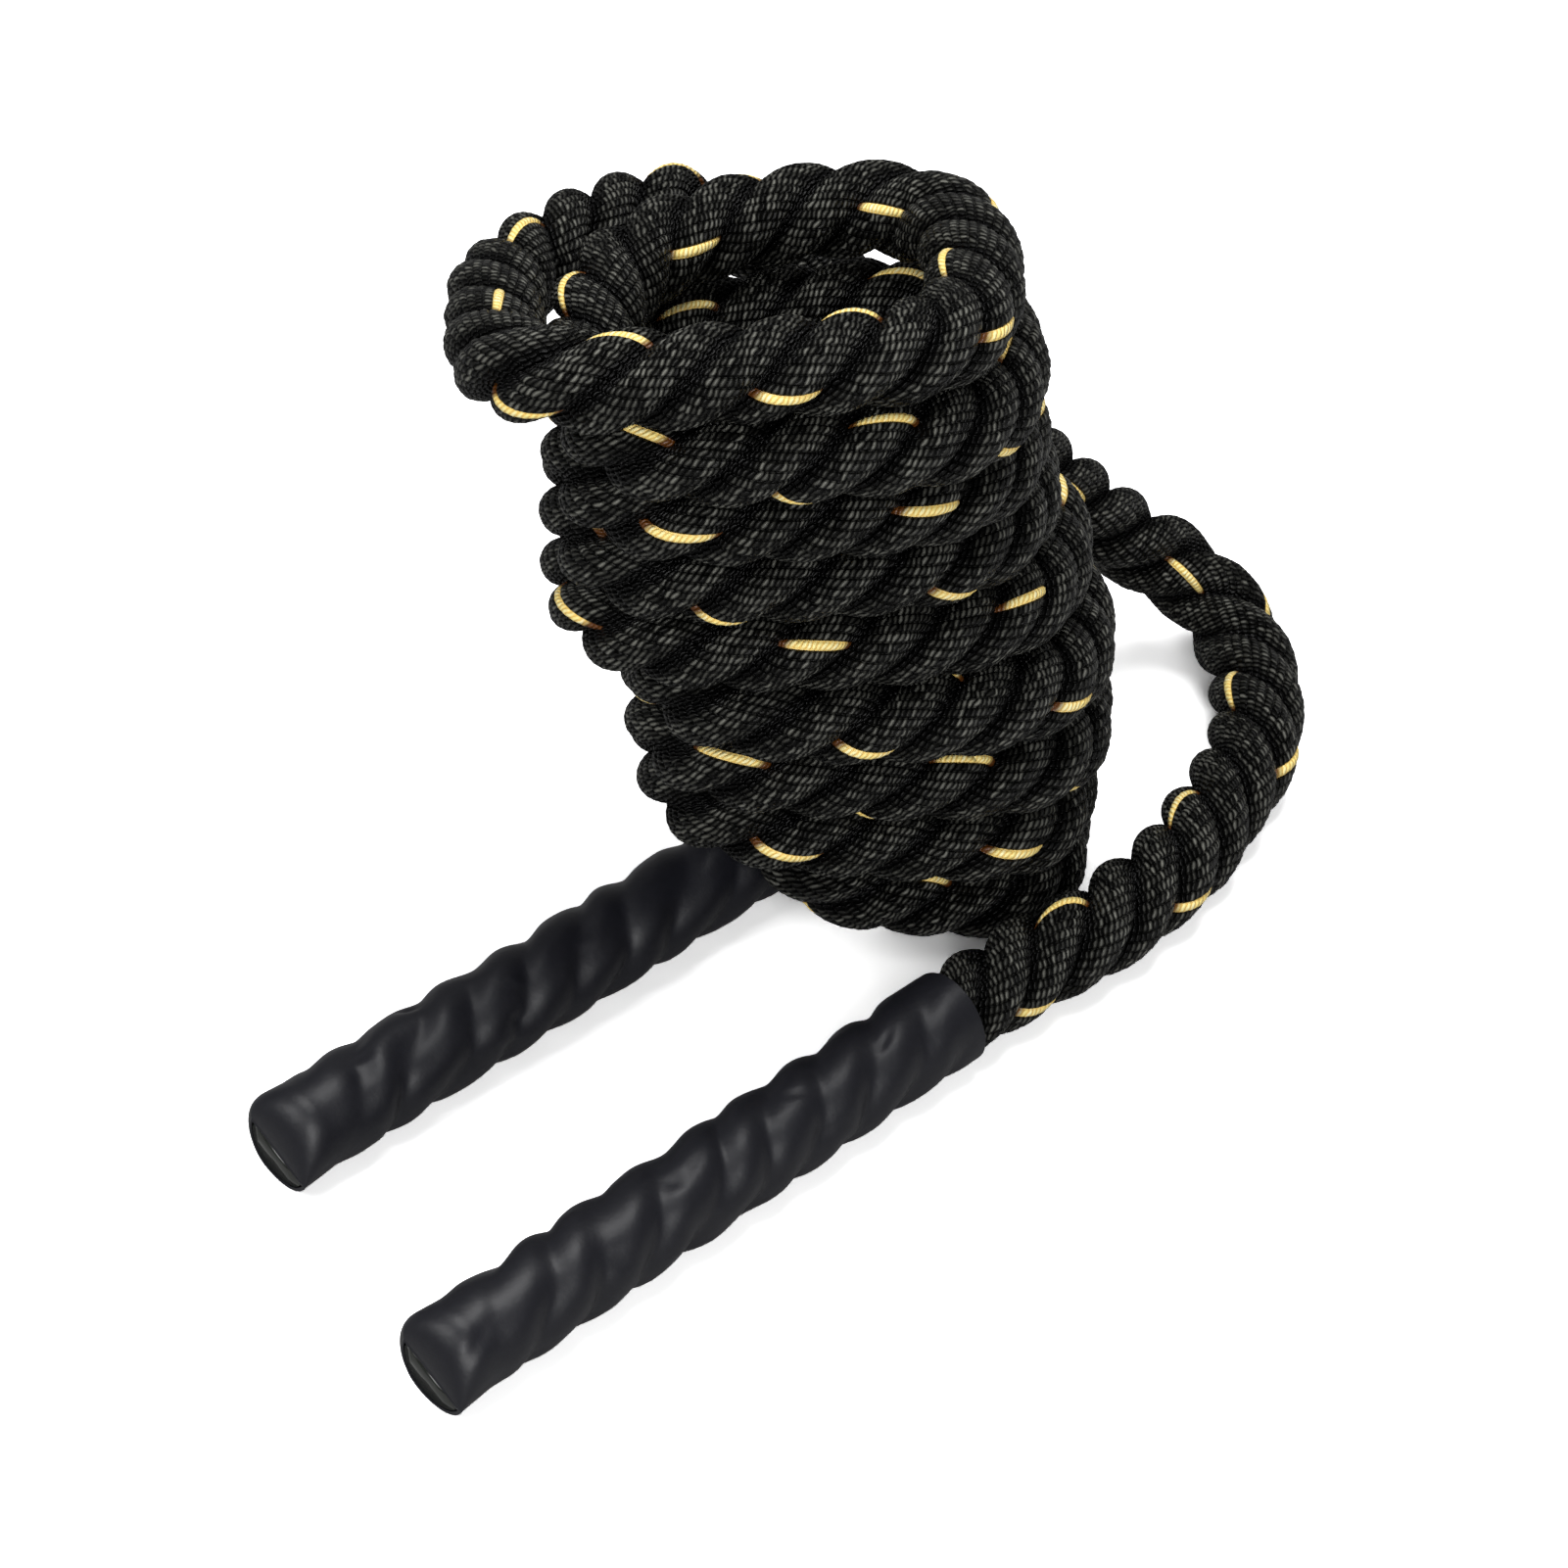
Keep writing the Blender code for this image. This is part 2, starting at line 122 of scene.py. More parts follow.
SAG_SHARES = (0.0, 0.0, 0.0, 0.0, 0.3, 0.0, 0.0, 0.0, 1.2)
SAG_PLACE_SHARE = 0.53
SAG_WIDTH_SHARE = 0.10
HUMP = 0.008
HUMP_PLACE_SHARE = 0.50
HUMP_WIDTH_SHARE = 0.10

# Free stretches
LEAD_POINTS = (
    (-0.103, -0.036, 0.281),
    (-0.090, -0.009, 0.276),
    (-0.071, 0.015, 0.269),
    (-0.051, 0.036, 0.262),
    (-0.030, 0.049, 0.252),
    (-0.007, 0.057, 0.235),
    (0.016, 0.061, 0.211),
    (0.039, 0.064, 0.185),
    (0.061, 0.067, 0.159),
    (0.081, 0.070, 0.135),
    (0.099, 0.074, 0.112),
    (0.116, 0.080, 0.090),
    (0.133, 0.086, 0.070),
    (0.150, 0.091, 0.053),
    (0.169, 0.091, 0.039),
    (0.185, 0.080, 0.027),
    (0.194, 0.060, 0.020),
    (0.197, 0.036, 0.019),
    (0.195, 0.010, 0.019),
    (0.187, -0.016, 0.019),
    (0.174, -0.040, 0.019),
    (0.161, -0.066, 0.019),
    (0.142, -0.089, 0.019),
    (0.121, -0.111, 0.019),
)
TAIL_POINTS = (
    (0.0450, -0.0099, 0.0160),
    (0.0550, -0.0008, 0.0152),
    (0.0647, 0.0082, 0.0152),
    (0.0734, 0.0135, 0.0152),
    (0.0834, 0.0150, 0.0152),
    (0.0932, 0.0125, 0.0152),
    (0.1013, 0.0064, 0.0152),
    (0.1064, -0.0023, 0.0152),
)

# Route
ROUTE_STEP = 0.0006
FREE_STEP = 0.001
RING_POINTS = 4000
FOOT_RUN = TUBE_RADIUS * 1.5  # straight before the coil's foot
TOP_RUN = TUBE_RADIUS * 2.5  # straight after its top
MOUTH_RUN = 0.038  # straight out of a sleeve
INSIDE = 0.012  # how far the strands run into each sleeve
CORNER_WIDTH = 0.006  # of the rounding where the stretches meet

# Handles
HANDLE_LENGTH = 0.266
HANDLE_HEIGHT = 0.0196
SLEEVE_RADIUS = 0.0196
SLEEVE_WALL = 0.0015
SLEEVE_SOFTNESS = 0.0004  # of its bend where it meets the floor
LEAD_HANDLE_END = (-0.1287, -0.3409)
LEAD_HANDLE_ANGLE = math.radians(43.4)
TAIL_HANDLE_END = (-0.1928, -0.2286)
TAIL_HANDLE_ANGLE = math.radians(42.6)
HANDLES = (  # node's side, piece's side, closed end, angle, and seed of its furrows and dents
    ("lead", "near", LEAD_HANDLE_END, LEAD_HANDLE_ANGLE, 3),
    ("tail", "far", TAIL_HANDLE_END, TAIL_HANDLE_ANGLE, 8),
)

# Sleeve's grid: fine steps at the closed end, where it is pressed, then even ones
FINE_LENGTH = 0.02
FINE_RINGS = 40
EVEN_RINGS = 230
SLEEVE_SIDES = 120
SHARP_ANGLE = math.radians(60)
LIP = 0.0004  # by which the rounded edge of the wall stands out

# Furrows of the shrunk tube, which follow the three strands under it
FURROW_DEPTH = 0.0031
FURROW_START = 0.012  # from the closed end
FURROW_RUN = 0.036  # over which they grow to their full depth
MOUTH_RUN_OUT = (0.024, 0.02)  # from the mouth, where they fade, and over what length
MOUTH_FADE = 0.75
FURROW_WANDER = 0.42
FURROW_WAVES = (0.13, 0.071, 0.043)
WANDER_TWIST = 0.012
BOTTOM_ROUNDING = 0.03
TOP_SOFTENING = 0.07  # more of that rounding on the tube's upper side
UNEVENNESS = 0.40
UNEVEN_WAVES = (0.051, 0.023, 0.037)
UNEVEN_TWIST = 0.02
NECK_DEPTH = 0.0009  # of the shallow waist behind the closed end
NECK_PLACE = 0.017
NECK_WIDTH = 0.008

# Dents: how many, and the lowest and highest of each of their values
DENTS = 60
DENT_PLACES = (0.012, 0.255)
DENT_ANGLES = (0, 2 * math.pi)
DENT_SIZES = (0.003, 0.0095)
DENT_DEPTHS = (-0.0008, 0.0012)
DENT_LEANS = (-1.2, 1.2)
DENT_WIDTH_SHARE = 0.9

# Closed end, pressed nearly flat from above over its last stretch
PRESSED = 0.015
PRESSED_FROM = math.radians(65)
PRESSED_SHORT = 0.06  # of the radius, by which the upper wall's edge stays short of the middle
PRESSED_EDGE = 0.35  # of the radius, over which the upper wall turns into the lower one
EDGE_HEIGHT_SHARE = 0.3
LOWER_RISE = 0.10
FLAP = 0.0008  # how far the upper wall reaches past the lower one
SHOULDER = 0.008  # length of the rounding of the end's left corner
SHOULDER_SHARE = 0.26
OTHER_CORNER_SHARE = 0.04

# Cap in the closed end: places along the axis, and insets from the wall on its upper side
PLUG_RINGS = ((0.0, 0.0050), (0.0005, 0.0042), (0.0016, 0.0036), (0.006, 0.0034))
PLUG_SIDES = 96
PLUG_LOWER_SHARE = 0.1  # of those insets on its lower side
PLUG_SIDE_SLOPE = 1.2

# Rope's end and whipping inside a sleeve: from and to along the axis, and radius
ROPE_END = (0.017, HANDLE_LENGTH - INSIDE - 0.001, 0.0136)
WHIPPING = (0.021, 0.037, 0.0152)
CORE_SIDES = 48


def between(shares, place):
    """Catmull-Rom curve through a table's values at 0, 1, 2 and so on."""
    table = np.array([shares[0], *shares, shares[-1], shares[-1]])
    place = np.clip(place, 0, len(shares) - 1)
    first = np.minimum(np.floor(place).astype(int), len(shares) - 1)
    f = place - first
    a, b, c, d = (table[first + i] for i in range(4))
    return b + 0.5 * f * (c - a + f * (2 * a - 5 * b + 4 * c - d + f * (3 * (b - c) + d - a)))


def eased(share):
    """A straight ramp from 0 to 1 with parabolas at its two ends."""
    share = np.clip(share, 0, 1)
    ease = CLIMB_EASE_SHARE
    low = share**2 / (2 * ease)
    high = 1 - ease - (1 - share) ** 2 / (2 * ease)
    return np.where(share < ease, low, np.where(share > 1 - ease, high, share - ease / 2)) / (1 - ease)


def eased_step(share):
    """A smooth step from 0 to 1, share squared times three less twice the share."""
    share = np.clip(share, 0, 1)
    return share * share * (3 - 2 * share)


def coil_points(turn):
    """The coil's centre line: an ellipse-like ring for each turn, which climbs a level on its near side."""
    angle = 2 * math.pi * turn
    across = (np.cos(angle) - BLUNT_SHARE * np.cos(3 * angle)) / (1 - BLUNT_SHARE)
    depth = -(np.sin(angle) + BLUNT_SHARE * np.sin(3 * angle)) / (1 - BLUNT_SHARE)
    right, left = between(RIGHT_SHARES, turn), between(LEFT_SHARES, turn - 0.5)
    near, far = between(NEAR_SHARES, turn - 0.25), between(FAR_SHARES, turn - 0.75)
    right_depth, left_depth = between(RIGHT_DEPTH_SHARES, turn), between(LEFT_DEPTH_SHARES, turn - 0.5)
    middle = (near + far) / 2
    x = (right + left) / 2 + (right - left) / 2 * across
    skew = (right_depth - left_depth) / 2 * across + ((right_depth + left_depth) / 2 - middle) * across**2
    y = middle + (far - near) / 2 * depth + skew
    levels = np.zeros_like(turn)
    for k, (start, end) in enumerate(zip(CLIMB_START_SHARES, CLIMB_END_SHARES)):
        levels += eased((turn - k - start) / (end - start))
    hump = HUMP * np.exp(-(((turn - HUMP_PLACE_SHARE) / HUMP_WIDTH_SHARE) ** 2))
    in_turn = turn - np.floor(turn)
    sag = np.exp(-(((in_turn - SAG_PLACE_SHARE) / SAG_WIDTH_SHARE) ** 2))
    sag *= SAG * between(SAG_SHARES, turn - 0.5)
    return np.column_stack([x * COIL_REACH, y * COIL_REACH, FLOOR_CENTRE + LEVEL_RISE * levels + hump - sag])


def spline(points, start, end, step):
    """A cubic spline through the points with unit directions at its ends, read about every step."""
    points = np.array(points)
    place = np.concatenate([[0], np.cumsum(np.linalg.norm(np.diff(points, axis=0), axis=1))])
    width = np.diff(place)
    count = len(points)
    system = np.eye(count)
    slopes = np.zeros((count, 3))
    slopes[0], slopes[-1] = start, end
    chord = np.diff(points, axis=0) / width[:, None]
    for i in range(1, count - 1):
        system[i, i - 1 : i + 2] = width[i], 2 * (width[i - 1] + width[i]), width[i - 1]
        slopes[i] = 3 * (width[i] * chord[i - 1] + width[i - 1] * chord[i])
    slopes = np.linalg.solve(system, slopes)
    read = np.linspace(0, place[-1], max(2, round(place[-1] / step) + 1))
    i = np.clip(np.searchsorted(place, read, side="right") - 1, 0, count - 2)
    h = width[i, None]
    f = (read - place[i])[:, None] / h
    bend = (slopes[i] + slopes[i + 1] - 2 * chord[i]) * h
    return points[i] + f * (slopes[i] * h + f * ((chord[i] - slopes[i]) * h - bend + f * bend))


def mouth(end, angle):
    """The middle of a handle's inner end and the direction of its axis there."""
    axis = np.array([math.cos(angle), math.sin(angle), 0])
    return np.array([*end, HANDLE_HEIGHT]) + axis * HANDLE_LENGTH, axis


def unit(v):
    """Directions: each vector divided by its length."""
    return v / np.linalg.norm(v, axis=-1, keepdims=True)


def length_of(points):
    """The sum of the distances from each point to the next."""
    return np.linalg.norm(np.diff(points, axis=0), axis=1).sum()


def evenly(line, step):
    """The line read at even steps of its length."""
    place = np.concatenate([[0], np.cumsum(np.linalg.norm(np.diff(line, axis=0), axis=1))])
    read = np.linspace(0, place[-1], round(place[-1] / step) + 1)
    return np.column_stack([np.interp(read, place, line[:, i]) for i in range(3)]), read


def rounded(line, step, width):
    """The line with its corners rounded: each point is a bell-weighted mean of its neighbours."""
    reach = int(3 * width / step)
    offset = np.arange(-reach, reach + 1) * step
    weight = np.exp(-((offset / width) ** 2) / 2)
    weight /= weight.sum()
    before = line[0] + (line[0] - line[1]) * np.arange(reach, 0, -1)[:, None]
    after = line[-1] + (line[-1] - line[-2]) * np.arange(1, reach + 1)[:, None]
    padded = np.vstack([before, line, after])
    return np.column_stack([np.convolve(padded[:, i], weight, "valid") for i in range(3)])


# The route runs from the far sleeve through the tail, the coil and the lead to the near sleeve
ring = coil_points(np.linspace(0, TURNS, RING_POINTS))
tail_mouth, tail_axis = mouth(TAIL_HANDLE_END, TAIL_HANDLE_ANGLE)
lead_mouth, lead_axis = mouth(LEAD_HANDLE_END, LEAD_HANDLE_ANGLE)
foot_way = unit(ring[1] - ring[0])
top_way = unit(ring[-1] - ring[-2])
tail_route = [tail_mouth + tail_axis * MOUTH_RUN, *TAIL_POINTS, ring[0] - foot_way * FOOT_RUN]
tail = spline(tail_route, tail_axis, foot_way, FREE_STEP)
lead_route = [ring[-1] + top_way * TOP_RUN, *LEAD_POINTS, lead_mouth + lead_axis * MOUTH_RUN]
lead = spline(lead_route, top_way, -lead_axis, FREE_STEP)
line = np.vstack([tail_mouth - tail_axis * INSIDE, tail, ring, lead, lead_mouth - lead_axis * INSIDE])
line += np.array(ROUTE_ORIGIN)
line, place = evenly(line, ROUTE_STEP)
line, place = evenly(rounded(line, ROUTE_STEP, CORNER_WIDTH), ROUTE_STEP)
rope_length = place[-1]
tail_length = length_of(tail)
lead_length = length_of(lead)
print("rope between the sleeves:", round(rope_length - 2 * INSIDE, 3), "m")


def read_line(at):
    """Points of the route at given lengths, with its direction, side and up there."""
    reach = 0.001
    point, ahead, behind = (
        np.column_stack([np.interp(at + off, place, line[:, i]) for i in range(3)])
        for off in (0.0, reach, -reach)
    )
    way = unit(ahead - behind)
    side = unit(np.cross(way, [0.0, 0.0, 1.0]))
    return point, way, side, np.cross(side, way)


def wave(at, seed, lengths):
    """A smooth wander between about -1 and 1 along a length: a mean of sines with fixed random phases."""
    phases = np.random.default_rng(seed).uniform(0, 2 * math.pi, len(lengths))
    sines = [np.sin(2 * math.pi * at / length + phase) for length, phase in zip(lengths, phases)]
    return sum(sines) / len(lengths)


def swell(at):
    """How much thicker the rope is than its plain size: more on the free loop, less inside a sleeve."""
    lead_start = rope_length - INSIDE - lead_length
    size = 1 + LEAD_SWELL_SHARE * eased_step((at - lead_start - LEAD_SWELL_START) / LEAD_SWELL_RUN)
    out_of_sleeve = np.maximum(np.minimum(at, rope_length - at) - INSIDE, 0)
    return size - (size - GRIPPED_SHARE) * np.exp(-((out_of_sleeve / GRIP_RUN) ** 2))


def on_coil(at):
    """1 along the stacked coil and 0 on the free stretches, with a straight ramp between."""
    start = tail_length + INSIDE
    end = rope_length - lead_length - INSIDE
    return np.clip((at - start) / COIL_FADE, 0, 1) * np.clip((end - at) / COIL_FADE, 0, 1)


def off_floor(z, softness):
    """Heights kept above the floor: half of the height plus the root of its square and the softness's."""
    return (z + np.sqrt(z**2 + softness**2)) / 2


def strand_points(at, strand, across, radius):
    """A strand's surface: its centre winds left-handed round the rope, and the section turns with it.

    across is the angle round the strand from the side that faces outwards, and radius the strand's there:
    a row for each ring and a column for each point round it. Turns press each other flat above and below,
    by a share of the height past a set one, and the floor presses the lowest.
    """
    point, way, side, up = read_line(at)
    size = swell(at)
    turned = -2 * math.pi * ((at - LAY_START) / LAY_LENGTH + strand / STRANDS)
    out = np.cos(turned)[:, None] * up + np.sin(turned)[:, None] * side
    round_way = np.cos(turned)[:, None] * side - np.sin(turned)[:, None] * up
    reach = STRAND_REACH * size
    lean = 2 * math.pi * reach / LAY_LENGTH
    cross = unit(np.cross(unit(way - lean[:, None] * round_way), out))
    centre = point + reach[:, None] * out
    outwards = np.cos(across)[..., None] * out[:, None] + np.sin(across)[..., None] * cross[:, None]
    surface = centre[:, None] + (radius * size[:, None])[..., None] * outwards
    height = np.einsum("ijk,ik->ij", surface - point[:, None], up)
    over = np.maximum(np.abs(height) - PRESS_HEIGHT, 0) * np.sign(height)
    surface -= (over * PRESS_SHARE * on_coil(at)[:, None])[..., None] * up[:, None]
    surface[..., 2] = off_floor(surface[..., 2], FLOOR_SOFTNESS)
    return surface


def angles(sides):
    """Even angles round a tube, one for each of its sides."""
    return np.linspace(0, 2 * math.pi, sides + 1)[:-1]


def tube_faces(rings, count):
    """Quads of a tube closed round, whose points are numbered ring by ring."""
    i = np.arange(rings - 1)[:, None] * count
    j = np.arange(count)[None]
    after = (j + 1) % count
    return np.stack([i + j, i + after, i + count + after, i + count + j], -1).reshape(-1, 4)


def face_corners(values):
    """A grid's values at the four corners of each of its faces, in the order of the faces' points."""
    return np.stack([values[:-1, :-1], values[:-1, 1:], values[1:, 1:], values[1:, :-1]], -1)


def grid_mesh(name, sheets, uvs=None, facing=None):
    """One mesh from tube grids (rings along, points round), each closed round and capped at both ends."""
    quads, caps = [], []
    base = 0
    for sheet in sheets:
        rings, count = sheet.shape[:2]
        quads.append(tube_faces(rings, count) + base)
        caps.append(np.arange(count)[::-1] + base)
        caps.append(np.arange(count) + base + (rings - 1) * count)
        base += rings * count
    quads = np.vstack(quads)
    verts = np.vstack([sheet.reshape(-1, 3) for sheet in sheets])
    corner = np.concatenate([quads.ravel(), *caps])
    sizes = np.concatenate([np.full(len(quads), 4), [len(cap) for cap in caps]])
    starts = np.concatenate([[0], np.cumsum(sizes)[:-1]])
    mesh = bpy.data.meshes.new(name)
    mesh.vertices.add(len(verts))
    mesh.vertices.foreach_set("co", verts.astype(np.float32).ravel())
    mesh.loops.add(len(corner))
    mesh.loops.foreach_set("vertex_index", corner.astype(np.int32))
    mesh.polygons.add(len(sizes))
    mesh.polygons.foreach_set("loop_start", starts.astype(np.int32))
    mesh.update(calc_edges=True)
    if uvs is not None:
        layer = mesh.uv_layers.new(name="yarn")
        flat = np.zeros((len(corner), 2), np.float32)
        at_corners = [np.stack([face_corners(u), face_corners(v)], -1).reshape(-1, 2) for u, v in uvs]
        flat[: len(quads) * 4] = np.vstack(at_corners)
        layer.data.foreach_set("uv", flat.ravel())
    # How far each point faces outwards, kept for the yarns' painted shade where they dive between the
    # strands
    if facing is not None:
        shown = mesh.attributes.new("facing", "FLOAT", "POINT")
        shown.data.foreach_set("value", np.concatenate([f.ravel() for f in facing]).astype(np.float32))
    mesh.validate()
    mesh.shade_smooth()
    return mesh, len(quads)


def put(name, mesh, materials):
    """An object of the model with its materials, riding on the part's one body."""
    made = bpy.data.objects.new(name, mesh)
    bpy.context.scene.collection.objects.link(made)
    for finish in materials:
        mesh.materials.append(finish)
    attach(made, "root")
    return made


def new_material(name):
    """A material with its node tree and its shader."""
    made = bpy.data.materials.new(name)
    made.use_nodes = True
    tree = made.node_tree
    return made, tree, tree.nodes["Principled BSDF"]


def new_group(name, inputs, outputs):
    """A node group with named sockets, and its input and output nodes."""
    group = bpy.data.node_groups.new(name, "ShaderNodeTree")
    for label, kind in inputs:
        group.interface.new_socket(name=label, in_out="INPUT", socket_type="NodeSocket" + kind)
    for label, kind in outputs:
        group.interface.new_socket(name=label, in_out="OUTPUT", socket_type="NodeSocket" + kind)
    return group, group.nodes.new("NodeGroupInput"), group.nodes.new("NodeGroupOutput")


def wire(tree, start, end):
    """A link from one socket to another."""
    tree.links.new(start, end)


def sum_node(tree, kind, a, b=None, c=None):
    """A Math node of that kind, whose inputs are sockets or numbers."""
    node = tree.nodes.new("ShaderNodeMath")
    node.operation = kind
    for socket, value in zip(node.inputs, (a, b, c)):
        if value is None:
            continue
        if isinstance(value, (int, float)):
            socket.default_value = value
        else:
            wire(tree, value, socket)
    return node.outputs[0]


def pair_node(tree, first, second):
    """A vector of two sockets and 0."""
    node = tree.nodes.new("ShaderNodeCombineXYZ")
    wire(tree, first, node.inputs[0])
    wire(tree, second, node.inputs[1])
    return node.outputs[0]


def mixed(tree, share, first, second):
    """A colour between two, which are sockets or (red, green, blue)."""
    node = tree.nodes.new("ShaderNodeMix")
    node.data_type = "RGBA"
    for socket, value in ((node.inputs[0], share), (node.inputs[6], first), (node.inputs[7], second)):
        if isinstance(value, (int, float)):
            socket.default_value = value
        elif isinstance(value, tuple):
            socket.default_value = (*value, 1)
        else:
            wire(tree, value, socket)
    return node.outputs[2]


def ramped(tree, value, low, high):
    """A smooth 0 to 1 as the value goes from low to high."""
    node = tree.nodes.new("ShaderNodeMapRange")
    node.interpolation_type = "SMOOTHSTEP"
    node.inputs["From Min"].default_value = low
    node.inputs["From Max"].default_value = high
    wire(tree, value, node.inputs["Value"])
    return node.outputs["Result"]


def noise_node(tree, vector, detail):
    """Noise on a vector, at its own scale until that is set."""
    node = tree.nodes.new("ShaderNodeTexNoise")
    node.inputs["Scale"].default_value = 1
    node.inputs["Detail"].default_value = detail
    wire(tree, vector, node.inputs["Vector"])
    return node


def bumped(tree, shader, height, depth):
    """The height raised by that depth on the shader's surface."""
    bump = tree.nodes.new("ShaderNodeBump")
    bump.inputs["Distance"].default_value = depth
    bump.inputs["Strength"].default_value = 1.0
    wire(tree, height, bump.inputs["Height"])
    wire(tree, bump.outputs[0], shader.inputs["Normal"])


# Bundles of a yarn
WANDER_SCALE = 130.0  # of the noise along a yarn that shifts its bundles, in 1/m
WANDER_STEP = 0.61  # in that noise from a yarn to the next
WANDER_BUNDLES = 1.5
ROW_EDGE = 0.60  # across a yarn, from where it falls away to its neighbour
ROW_FALL = 0.6
BUNDLE_END_SHARE = 0.5  # by which a bundle's painted highlight gives way to painted shade towards its ends
BUNDLE_FULL = 0.2  # of the way from a bundle's middle, within which its painted highlight is at its lightest
BUNDLE_ODDS = 1.6  # power of the chance: a higher one makes the light bundles, which are partly painted sheen, rarer

# Fine grain, as shares of a surface's own colour
GRAIN_DARK = 0.8
GRAIN_LIGHT = 1.25


def yarn_group():
    """Filament bundles of a twisted yarn. Its coordinate is length along the yarn and yarns counted across.

    A bundle's number is the whole part of length over pitch, plus slant times the count across, plus noise.
    Height is one less the square of the way from the bundle's middle, lowered at the yarn's edges.
    The shade output is a painted highlight, 1 in a bundle's middle, which falls to painted shade, 0 in the
    gaps, by the root of that square and a share of the square of the way from the yarn's middle. Chance is
    a random number for each bundle.
    """
    inputs = (("Coordinate", "Vector"), ("Bundle Pitch", "Float"), ("Slant", "Float"))
    outputs = (("Height", "Float"), ("Painted Highlight And Shade", "Float"), ("Chance", "Float"))
    group, start, end = new_group("twisted_yarn", inputs, outputs)
    split = group.nodes.new("ShaderNodeSeparateXYZ")
    wire(group, start.outputs["Coordinate"], split.inputs[0])
    along, over = split.outputs[0], split.outputs[1]
    index = sum_node(group, "FLOOR", over)
    across = sum_node(group, "SUBTRACT", over, index)
    noise_place = pair_node(
        group,
        sum_node(group, "MULTIPLY", along, WANDER_SCALE),
        sum_node(group, "MULTIPLY", index, WANDER_STEP),
    )
    wander = noise_node(group, noise_place, detail=1)
    turns = sum_node(group, "DIVIDE", along, start.outputs["Bundle Pitch"])
    leaned = sum_node(group, "MULTIPLY_ADD", over, start.outputs["Slant"], turns)
    phase = sum_node(group, "MULTIPLY_ADD", wander.outputs[0], WANDER_BUNDLES, leaned)
    number = sum_node(group, "FLOOR", phase)
    saw = sum_node(group, "SUBTRACT", phase, number)
    from_middle = sum_node(group, "ABSOLUTE", sum_node(group, "MULTIPLY_ADD", saw, 2.0, -1.0))
    from_row = sum_node(group, "ABSOLUTE", sum_node(group, "MULTIPLY_ADD", across, 2.0, -1.0))
    row = ramped(group, from_row, 1.0, ROW_EDGE)
    middle_squared = sum_node(group, "MULTIPLY", from_middle, from_middle)
    row_squared = sum_node(group, "MULTIPLY", from_row, from_row)
    end_squared = sum_node(group, "MULTIPLY", row_squared, BUNDLE_END_SHARE)
    away = sum_node(group, "SQRT", sum_node(group, "ADD", middle_squared, end_squared))
    dome = sum_node(group, "SUBTRACT", 1.0, middle_squared)
    ridge = sum_node(group, "MULTIPLY_ADD", row, ROW_FALL, 1 - ROW_FALL)
    chance = group.nodes.new("ShaderNodeTexWhiteNoise")
    chance.noise_dimensions = "2D"
    wire(group, pair_node(group, number, index), chance.inputs["Vector"])
    wire(group, sum_node(group, "MULTIPLY", dome, ridge), end.inputs["Height"])
    wire(group, ramped(group, away, 1.0, BUNDLE_FULL), end.inputs["Painted Highlight And Shade"])
    wire(group, chance.outputs["Value"], end.inputs["Chance"])
    return group


def grain_group():
    """Fine grain: noise on the object's coordinates, as a tone between two colours and as a height."""
    inputs = (("Coordinate", "Vector"), ("Scale", "Float"), ("Dark", "Color"), ("Light", "Color"))
    outputs = (("Tone", "Color"), ("Height", "Float"))
    group, start, end = new_group("fine_grain", inputs, outputs)
    noise = noise_node(group, start.outputs["Coordinate"], detail=4)
    wire(group, start.outputs["Scale"], noise.inputs["Scale"])
    tone = mixed(group, noise.outputs[0], start.outputs["Dark"], start.outputs["Light"])
    wire(group, tone, end.inputs["Tone"])
    wire(group, noise.outputs[0], end.inputs["Height"])
    return group


twisted_yarn = yarn_group()
fine_grain = grain_group()


def yarn_material(name, colours, pitch, slant, roughness, depth, groove_shade_fade, gloss):
    """Satin yarn: a random tone for each bundle, whose light bundles are also painted sheen, a painted
    highlight in each bundle's middle with painted shade in the gaps, and painted shade where the yarn dives
    between the strands.

    Of the last two arguments, the first is how far outwards the yarn faces where that painted shade starts
    to fade and where it is gone.
    """
    made, tree, shader = new_material(name)
    coordinate = tree.nodes.new("ShaderNodeUVMap")
    coordinate.uv_map = "yarn"
    facing = tree.nodes.new("ShaderNodeAttribute")
    facing.attribute_name = "facing"
    yarn = tree.nodes.new("ShaderNodeGroup")
    yarn.node_tree = twisted_yarn
    yarn.inputs["Bundle Pitch"].default_value = pitch
    yarn.inputs["Slant"].default_value = slant
    wire(tree, coordinate.outputs[0], yarn.inputs["Coordinate"])
    # A random tone for each bundle; the light bundles are also painted sheen, in place of glints on the
    # satin
    chance = sum_node(tree, "POWER", yarn.outputs["Chance"], BUNDLE_ODDS)
    bundle = mixed(tree, chance, colours["dark"], colours["light"])
    # Painted highlight in each bundle's middle, and painted shade in the gaps between bundles and between
    # yarns
    laid = mixed(tree, yarn.outputs["Painted Highlight And Shade"], colours["gap"], bundle)
    # Painted shade where the yarn turns away from the outside and dives between the strands
    shown = ramped(tree, facing.outputs["Fac"], *groove_shade_fade)
    wire(tree, mixed(tree, shown, colours["groove_shade"], laid), shader.inputs["Base Color"])
    shader.inputs["Roughness"].default_value = roughness
    shader.inputs["Specular IOR Level"].default_value = gloss
    bumped(tree, shader, yarn.outputs["Height"], depth)
    return made


